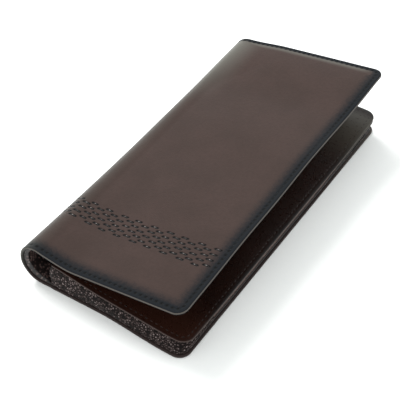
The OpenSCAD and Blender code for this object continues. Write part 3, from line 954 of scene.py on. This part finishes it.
# The gusset's pebbles get painted shade between them and bright painted glints on their tops
gusset_finish = leather(
    "pebbled_leather", ((0.041, 0.0265, 0.0245), (0.025, 0.016, 0.015), (0.056, 0.039, 0.037)),
    (0.02, 0.016, 0.016), 0.2, 0.55, 1.2, 0.16, valley_shade=(0.0035, 0.0020, 0.0019),
    glint=(0.27, 0.225, 0.22), stored_grain=True)
gusset_finish.set("Specular IOR Level", 0.08)
gusset_leather, pebble_size, pebble_rise = 0.8, 1.2, 0.17
gusset_top, gusset_inset, gusset_foot_inset = -0.95, 0.5, 1.2


no_edge = 9.0


def pebbles(along, up):
    """Height of the pebbled grain, from 0 to 1, at places in mm."""
    height = np.empty(np.shape(along))
    for index, (x, y) in enumerate(zip(np.ravel(along), np.ravel(up))):
        nearest = noise.voronoi(Vector((x / pebble_size, y / pebble_size, 0.7)))[0]
        height.flat[index] = min(1.0, (nearest[1] - nearest[0]) * 2.0)
    return height


def gusset_wall(name, foot, top, away, bulge, node):
    """A wall between a line on the lining and a line under the pocket; away is outwards."""
    length = np.concatenate([[0], np.cumsum(np.linalg.norm(np.diff(top, axis=0), axis=1))])
    fine = np.linspace(0, length[-1], int(length[-1] / 0.42))

    def resampled(line):
        return np.stack([np.interp(fine, length, column) for column in np.asarray(line).T], axis=-1)
    foot, top, away = resampled(foot), resampled(top), resampled(away)
    away /= np.linalg.norm(away, axis=1, keepdims=True)
    bulge = np.interp(fine, length, bulge)
    v = np.linspace(0, 1, 36)[:, None]
    arch = np.sin(np.pi * v)
    belly = arch ** 0.75 * bulge[None, :] + 0.35 * np.sin(fine[None, :] / 7.3 + 2.0) * arch ** 2
    middle = foot + (top - foot) * v[..., None] + away * belly[..., None]
    along = np.broadcast_to(fine, belly.shape)
    up = np.broadcast_to(v * float(np.mean(top[:, 2] - foot[:, 2])), belly.shape)
    grain = pebbles(along, up)
    raised = pebble_rise * (grain - 0.6) * np.clip(arch * 6, 0, 1)
    out = middle + away * (gusset_leather / 2 + raised)[..., None]
    back = middle - away * (gusset_leather / 2 - 0.4 * raised)[..., None]
    grids = [out, back, np.stack([along, up, np.zeros(belly.shape)], axis=-1), grain]
    if np.cross(np.gradient(top, axis=0), away)[len(top) // 2, 2] >= 0:
        grids = [grid[:, ::-1] for grid in grids]
    out, back, flat, grain = grids
    piece = closed_sheet(name, out, back, gusset_finish,
                         {"flat": flat, "edge": np.full(belly.shape, no_edge), "grain": grain})
    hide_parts(node)
    return piece


def gusset_line(start, way, reach, corner_at_end, bend, corner_turned, beyond):
    """Points of one edge of an end gusset: in from the roll, along the side, round the corner."""
    points = [(start, -reach + 2 * gusset_into)]
    points += [(start + way * gusset_into * (1 + math.cos(math.radians(turn))),
                -reach + gusset_into * (1 + math.sin(math.radians(turn)))) for turn in into_turns]
    points += [(along, -reach) for along in np.linspace(
        start + way * gusset_into, corner_at_end, 24)[1:]]
    points += [(corner_at_end + way * bend * math.cos(math.radians(turn)),
                -reach + bend * (1 + math.sin(math.radians(turn)))) for turn in corner_turned]
    points += [(points[-1][0], points[-1][1] + past) for past in np.linspace(0, beyond, 8)[1:]]
    return np.array(points)


gusset_into, into_turns = 3.0, np.linspace(180, 270, 7)
foot_start = half_width + 32.2


def end_gusset(side, name, corner, beyond, bulge_start, bulge_end, node):
    """An end gusset: from the roll along a short side, round the corner and beyond it."""
    turned = np.linspace(270, 270 + corner, 12)[1:]
    top_line = gusset_line(-2.2, 1, pocket_half - gusset_inset, pocket_width - pocket_radius,
                           pocket_radius - gusset_inset, turned, beyond)
    foot_line = gusset_line(foot_start, -1, half_length - gusset_foot_inset, corner_radius,
                            corner_radius - gusset_foot_inset, turned, beyond)
    angles = np.radians(np.concatenate(
        [[180], into_turns, np.full(23, 270), turned, np.full(7, 270 + corner)]))
    away = np.stack([np.cos(angles), np.sin(angles) * -side, np.zeros(len(angles))], axis=-1)
    top_a, top_y = top_line[:, 0], side * -top_line[:, 1]
    top = on_pocket(top_a, top_y, gusset_top - 1.1 * np.clip(0.8 - top_a, 0, 3))
    foot = on_hide(foot_line[:, 0], side * -foot_line[:, 1], -half_cover)
    # Past the corner the foot leaves the lining and runs up to the pocket's underside
    count = np.arange(len(angles))
    mid_corner = 36
    left = smooth((count - mid_corner) / (count[-1] - mid_corner)) * (beyond > 0)
    tucked = on_pocket(top_a, top_y, underside_of(top_a, top_y) + 0.6)
    foot = foot + (tucked - foot) * left[:, None]
    bulge = np.interp(count, [0, 8, 31, count[-1]],
                      [0.3, bulge_start, bulge_end, bulge_end * 0.5])
    piece = gusset_wall(name, foot, top, away, bulge, node)
    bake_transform(piece)


end_gusset(-1, "bellows_near", 90.0, 16.0, 1.1, 0.7, "gusset_near")
end_gusset(1, "bellows_far", 6.0, 0.0, -4.5, -3.5, "gusset_far")

# Along the spine the strip stands straight, 29.5 mm towards the spine from the middle
spine_line, spine_low, spine_high = -29.5, 2.0, 9.4
spine_foot, spine_top = (
    np.stack([np.full(40, spine_line), np.linspace(-86, 86, 40), np.full(40, level)], axis=-1)
    for level in (spine_low, spine_high))
piece = gusset_wall("bellows_spine", spine_foot, spine_top,
                    np.tile([-1.0, 0.0, 0.0], (40, 1)), np.full(40, 0.9), "gusset_spine")
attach(piece, "back")

# ---- Coin pocket: rim, seam and bag ------------------------------------------------------
# A folded strip of pebbled brown leather fills the wedge at the sewn sides. The seam is a lock
# stitch of 2.8 mm, 2.6 mm in from the edge. The bag is thin twill, folded once and open to the
# zip.

rim_a, rim_y = pocket_width - pocket_radius, pocket_half - pocket_radius


def rim_corner(y, start):
    """A corner of the rim: places a, y and the way out of the pocket."""
    turn = np.radians(start + np.linspace(0, 90, 12))
    out_a, out_y = np.cos(turn), np.sin(turn)
    return np.column_stack([rim_a + pocket_radius * out_a, y + pocket_radius * out_y, out_a, out_y])


rim_line = np.concatenate([
    [(a, -pocket_half, 0.0, -1.0) for a in np.linspace(0, rim_a, 30)[:-1]],
    rim_corner(-rim_y, -90),
    [(pocket_width, y, 1.0, 0.0) for y in np.linspace(-rim_y, rim_y, 60)[1:-1]],
    rim_corner(rim_y, 0),
    [(a, pocket_half, 0.0, 1.0) for a in np.linspace(rim_a, 0, 30)[1:]]])
rim_up = np.linspace(0, 1, 9)[:, None]
rim_low = underside_of(rim_line[:, 0], rim_line[:, 1]) + pocket_leather - 0.02
rim_h = rim_low + (-pocket_leather + 0.02 - rim_low) * rim_up
rim_inside = 0.5 + 0.55 * smooth((-60 - rim_line[:, 1]) / 25)


def rim_wall(inside, hollow):
    inward = np.maximum(inside, rim_inside) + hollow * np.sin(np.pi * rim_up)
    a = rim_line[:, 0] - rim_line[:, 2] * inward
    y = rim_line[:, 1] - rim_line[:, 3] * inward
    return on_pocket(np.maximum(a, 0.0), y, rim_h)


# The rim's pebbles get painted shade between them
rim_finish = leather(
    "pebbled_rim", ((0.130, 0.074, 0.062), (0.100, 0.056, 0.048), (0.170, 0.105, 0.090)),
    (0.010, 0.007, 0.007), 0.2, 0.4, 1.1, 0.12, valley_shade=(0.040, 0.022, 0.019))
rim_finish.set("Specular IOR Level", 0.3)
rim_flat = np.stack([np.broadcast_to(np.arange(len(rim_line)) * 2.0, rim_h.shape),
                     rim_h * 3, np.zeros_like(rim_h)], axis=-1)
rim = closed_sheet("pocket_rim", rim_wall(0.2, 0.25), rim_wall(2.3, 0.0), rim_finish,
                   {"flat": rim_flat, "edge": np.full(rim_h.shape, no_edge)})
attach(rim, "coin_pocket")
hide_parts("coin_rim")

pocket_runs = round_seam(-60.0, pocket_width - pocket_seam_inset, pocket_half - pocket_seam_inset,
                         pocket_radius - pocket_seam_inset, seam_pitch, 0.3)
pocket_runs = pocket_runs[(pocket_runs[:, 0] > 1.0) & (pocket_runs[:, 2] > 1.0)]
pocket_thread = Finish("pocket_thread")
pocket_twist = pocket_thread.noise(pocket_thread.stored("flat").outputs["Vector"], 3.0)
pocket_thread.colour(pocket_thread.blend(pocket_twist, (0.006, 0.0028, 0.0024), (0.022, 0.010, 0.008)))
pocket_thread.relief(pocket_twist, 0.04)
pocket_thread.roughness(0.5)
pocket_seam = stitches("pocket_seam", on_pocket, pocket_runs, thread_radius, -0.10, 1,
                       pocket_thread, 0.4)
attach(pocket_seam, "coin_pocket")
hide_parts("thread_coin")


def woven(name, light, dark, threads, rough, twill=True):
    """Woven cloth: two crossing sets of threads, threads to the millimetre."""
    made = Finish(name)
    flat = made.stored("flat").outputs["Vector"]
    warp = made.node("TexWave", wave_type="BANDS", bands_direction="X")
    weft = made.node("TexWave", wave_type="BANDS", bands_direction="DIAGONAL" if twill else "Y")
    for wave in (warp, weft):
        made.feed(wave.inputs["Vector"], flat)
        wave.inputs["Scale"].default_value = threads / 3.2
        wave.inputs["Distortion"].default_value = 0.6
    weave = made.reckon("MULTIPLY", warp.outputs["Fac"], weft.outputs["Fac"])
    dust = made.noise(flat, 0.35, 3.0, 0.6)
    cloth = made.blend(weave, dark, light)
    made.colour(made.blend(made.between(dust, 0.4, 0.8, 0.0, 0.35), cloth, dark))
    made.relief(weave, 0.06)
    made.roughness(rough)
    made.set("Sheen Weight", 0.2)
    made.set("Sheen Roughness", 0.5)
    return made


bag_finish = woven("bag_twill", (0.060, 0.052, 0.047), (0.026, 0.022, 0.020), 2.4, 0.8)
bag_from, bag_to, bag_half, bag_cloth = 10.2, 70.6, 87.6, 0.25
bag_run = np.concatenate([np.linspace(bag_from, bag_to, 40), np.linspace(bag_to, bag_from, 40)])
bag_side = np.concatenate([np.ones(40), -np.ones(40)])
bag_floor = -pocket_mouth + pocket_leather + (pocket_mouth - pocket_toe) * bag_run / pocket_width
bag_middle = (bag_floor - pocket_leather) / 2
bag_y = np.linspace(-bag_half, bag_half, 90)[:, None]
bag_open = smooth((bag_half - np.abs(bag_y)) / 7) * smooth((bag_to - bag_run) / 5)
bag_ripple = 0.12 * np.sin(bag_y / 6.1 + bag_run / 9.0) * bag_open
bag_room = (-pocket_leather - bag_floor) / 2 - 0.35
bag_level = bag_middle + bag_side * (0.16 + (bag_room - 0.16) * bag_open) + bag_ripple
bag_a = np.broadcast_to(bag_run, bag_level.shape)
bag_y = np.broadcast_to(bag_y, bag_level.shape)
bag_flat = np.stack([np.broadcast_to(np.cumsum(np.abs(np.gradient(bag_run))), bag_y.shape),
                     bag_y, np.zeros_like(bag_y)], axis=-1)
bag = closed_sheet("pocket_bag", on_pocket(bag_a, bag_y, bag_level + bag_side * bag_cloth / 2),
                   on_pocket(bag_a, bag_y, bag_level - bag_side * bag_cloth / 2),
                   bag_finish, {"flat": bag_flat})
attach(bag, "coin_pocket")
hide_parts("coin_bag")

# ---- Zip ---------------------------------------------------------------------------------
# A moulded zip, 156 mm long, closes the side of the coin pocket that faces the spine. Its
# woven tapes are sewn inside the two leathers; two stops end the rows of teeth.

zip_a, zip_h, zip_half, tape_half, tape_cloth = 1.0, -3.5, 78.0, 84.0, 0.4
tooth_pitch, tooth_reach = 1.5, 1.45
tape_finish = woven("zip_tape", (0.022, 0.019, 0.019), (0.008, 0.007, 0.008), 2.0, 0.75, False)
tape_y = lines_along(-tape_half, tape_half, 2.0)[:, None]


def tape(name, line, node):
    """A tape from its bent section: points (a, h), swept along the zip."""
    line = np.array(line)
    length = np.concatenate([[0], np.cumsum(np.hypot(*np.diff(line, axis=0).T))])
    run = np.linspace(0, length[-1], 26)
    a, h = np.interp(run, length, line[:, 0]), np.interp(run, length, line[:, 1])
    for _ in range(3):
        a[1:-1], h[1:-1] = [(v[:-2] + 2 * v[1:-1] + v[2:]) / 4 for v in (a, h)]
    slope = np.stack([np.gradient(a), np.gradient(h)])
    slope /= np.hypot(*slope)
    rib = 0.03 * np.sin(run * 2 * np.pi / 0.8)
    off = tape_cloth / 2 + rib - 0.03
    grids = [on_pocket(a - way * slope[1] * off + 0 * tape_y, tape_y + 0 * a,
                       h + way * slope[0] * off + 0 * tape_y) for way in (1, -1)]
    flat = np.stack([run + 0 * tape_y, tape_y + 0 * run, 0 * tape_y + 0 * run], axis=-1)
    piece = closed_sheet(name, *grids, tape_finish, {"flat": flat})
    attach(piece, "coin_pocket")
    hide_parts(node)


tape("tape_upper", [(zip_a, -2.3), (zip_a, -1.1), (9.9, -1.1)], "zip_tape_upper")
tape("tape_lower", [(zip_a, -4.7), (zip_a, -5.84), (9.9, -5.37)], "zip_tape_lower")

metal_finish = Finish("aged_brass")
metal_place = metal_finish.node("TexCoord").outputs["Object"]
metal_cloud = metal_finish.noise(metal_place, 900.0, 4.0, 0.6)
metal_rub = metal_finish.noise(metal_finish.scaled(metal_place, (1.0, 6.0, 1.0)), 2500.0, 2.0)
metal_finish.colour(metal_finish.blend(
    metal_finish.between(metal_cloud, 0.35, 0.7), (0.36, 0.31, 0.24), (0.20, 0.17, 0.13)))
metal_finish.roughness(metal_finish.between(metal_rub, 0.3, 0.7, 0.24, 0.46))
metal_finish.relief(metal_rub, 0.01)
metal_finish.set("Metallic", 1.0)

# A tooth, from its foot on the tape to its head: distance out, half width, half depth
tooth_levels = ((-0.25, 0.42, 0.50), (0.0, 0.46, 0.62), (0.55, 0.42, 0.65), (0.8, 0.26, 0.58),
                (1.05, 0.40, 0.62), (1.3, 0.36, 0.55), (tooth_reach, 0.20, 0.36))
tooth_corners = np.array([(-1, -0.7), (-0.7, -1), (0.7, -1), (1, -0.7),
                          (1, 0.7), (0.7, 1), (-0.7, 1), (-1, 0.7)])


def teeth_row(name, foot, way, shift, node):
    """A row of moulded teeth that reach from foot towards the other row."""
    places = np.arange(-zip_half + 0.8 + shift, zip_half - 0.7, tooth_pitch)
    points, faces, sides = [], [], len(tooth_corners)
    for y in places:
        base = len(points)
        for out, wide, deep in tooth_levels:
            points += [(zip_a + c[1] * deep, y + c[0] * wide, foot + way * out)
                       for c in tooth_corners]
        for level in range(len(tooth_levels) - 1):
            low = base + level * sides
            for k in range(sides):
                after = (k + 1) % sides
                quad = (low + k, low + after, low + sides + after, low + sides + k)
                faces.append(quad[::-way])
        last = base + (len(tooth_levels) - 1) * sides
        faces.append(tuple(range(base, base + sides))[::way])
        faces.append(tuple(range(last, last + sides))[::-way])
    points = np.array(points)
    piece = make_piece(name, on_pocket(*points.T), faces, metal_finish)
    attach(piece, "coin_pocket")
    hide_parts(node)


teeth_row("teeth_upper", -2.3, -1, 0.0, "zip_teeth_upper")
teeth_row("teeth_lower", -4.7, 1, tooth_pitch / 2, "zip_teeth_lower")


def rounded_block(name, low, high, radius, finish, body, node):
    """A block with rounded edges, in the pocket's a, y, h."""
    mesh = bpy.data.meshes.new(name)
    corners = [(x, y, z) for x in (low[0], high[0]) for y in (low[1], high[1])
               for z in (low[2], high[2])]
    mesh.from_pydata(corners, [], [(0, 1, 3, 2), (4, 6, 7, 5), (0, 4, 5, 1), (2, 3, 7, 6),
                                   (0, 2, 6, 4), (1, 5, 7, 3)])
    build = bmesh.new()
    build.from_mesh(mesh)
    bmesh.ops.bevel(build, geom=list(build.edges), offset=radius, segments=4, profile=0.5,
                    affect="EDGES")
    bmesh.ops.recalc_face_normals(build, faces=list(build.faces))
    build.to_mesh(mesh)
    build.free()
    places = np.array([v.co for v in mesh.vertices])
    mesh.vertices.foreach_set("co", (on_pocket(*places.T) * MM).astype(np.float32).ravel())
    mesh.polygons.foreach_set("use_smooth", np.ones(len(mesh.polygons), bool))
    mesh.materials.append(finish.material)
    piece = bpy.data.objects.new(name, mesh)
    bpy.context.scene.collection.objects.link(piece)
    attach(piece, body)
    if node:
        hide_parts(node)
    return piece


for way, end in ((-1, "near"), (1, "far")):
    middle = way * (zip_half + 1.1)
    rounded_block(f"stop_{end}", (zip_a - 0.9, middle - 0.95, -4.6), (zip_a + 0.9, middle + 0.95, -2.4),
                  0.45, metal_finish, "coin_pocket", f"zip_stop_{end}")

# ---- Zip slider and pull -----------------------------------------------------------------
# The cast slider has two rounded plates either side of the teeth, joined by a post, with flanges
# along the plates. The pull is a flat tab with a slot, which swings on its pin.

slider_y, slider_long, slider_wide, plate = -77.5, 8.0, 1.9, 0.85


def slider_plate(name, face, way):
    """A domed, shield-shaped plate that is wider at the end where the rows part."""
    t = np.linspace(0, 1, 25)[None, :]
    across = np.linspace(-1, 1, 15)[:, None]
    round_end = np.sqrt(np.clip(1 - np.abs(2 * t - 1) ** 5, 0.02, 1))
    wide = slider_wide * (0.80 + 0.20 * smooth(1 - 1.6 * t)) * round_end
    y, h = slider_y + slider_long * t + 0 * across, zip_h + across * wide
    dome = 0.22 * (1 - across ** 2) * (1 - (2 * t - 1) ** 4)
    outside = on_pocket(face + way * (plate - 0.25 + dome), y, h)
    inside = on_pocket(np.full(h.shape, face), y, h)
    upper, lower = (outside, inside) if way < 0 else (inside, outside)
    piece = closed_sheet(name, upper, lower, metal_finish)
    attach(piece, "slider")
    return piece


slider_face = slider_plate("slider_face", 0.0, -1)
slider_plate("slider_back", 2.0, 1)
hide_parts("zip_slider")
rounded_block("slider_post", (-0.05, slider_y + 0.3, zip_h - 0.3), (2.05, slider_y + 2.0, zip_h + 0.3),
              0.2, metal_finish, "slider", None)
for number, low in enumerate((zip_h - slider_wide + 0.05, zip_h + 1.5)):
    for face, (a_low, a_high) in (("face", (-0.1, 0.38)), ("back", (1.62, 2.1))):
        rounded_block(f"slider_flange_{face}_{number + 1}", (a_low, slider_y + 0.9, low),
                      (a_high, slider_y + slider_long - 0.9, low + 0.35), 0.12,
                      metal_finish, "slider", None)
pin_a, pin_y = -1.8, slider_y + slider_long / 2


def ring_plate(name, outline, hole, thickness, bevel, place, finish):
    """A flat plate with a hole, its edges rounded over."""
    outline, hole = np.array(outline), np.array(hole)
    count = len(outline)

    def shrunk(line, amount):
        centre = line.mean(axis=0)
        away = line - centre
        return line - away / np.linalg.norm(away, axis=1, keepdims=True) * amount
    levels = []
    for line, way in ((outline, 1), (hole, -1)):
        for turn in (0, 30, 60, 90):
            angle = math.radians(turn)
            levels.append((shrunk(line, way * bevel * (1 - math.sin(angle))),
                           thickness / 2 - bevel + bevel * math.cos(angle)))
    upper_outer, upper_hole = levels[:4], levels[4:]
    loops = upper_outer + [(line, -z) for line, z in upper_outer[::-1]]
    loops += [(line, -z) for line, z in upper_hole] + upper_hole[::-1]
    points = np.concatenate([np.column_stack([line, np.full(count, z)]) for line, z in loops])
    faces = []
    for level in range(len(loops)):
        low, high = level * count, (level + 1) % len(loops) * count
        for k in range(count):
            after = (k + 1) % count
            faces.append((low + k, high + k, high + after, low + after))
    return make_piece(name, place(points), faces, finish)


def rounded_outline(y_low, y_high, half, radius, steps=8):
    """A rectangle with rounded corners, as a closed line."""
    line = []
    for y, h, start in ((y_high, half, 0), (y_low, half, 90), (y_low, -half, 180),
                        (y_high, -half, 270)):
        for turn in np.linspace(0, 90, steps):
            angle = math.radians(start + turn)
            line.append((y - math.copysign(radius, y - (y_low + y_high) / 2)
                         + radius * math.cos(angle),
                         h - math.copysign(radius, h) + radius * math.sin(angle)))
    return line


pull = ring_plate(
    "pull_tab", rounded_outline(0.8, 12.0, 2.1, 1.3), rounded_outline(2.2, 6.6, 0.95, 0.9),
    0.85, 0.2, lambda p: on_pocket(pin_a - p[:, 2], pin_y + p[:, 0], zip_h + p[:, 1]), metal_finish)
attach(pull, "pull")
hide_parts("zip_pull")
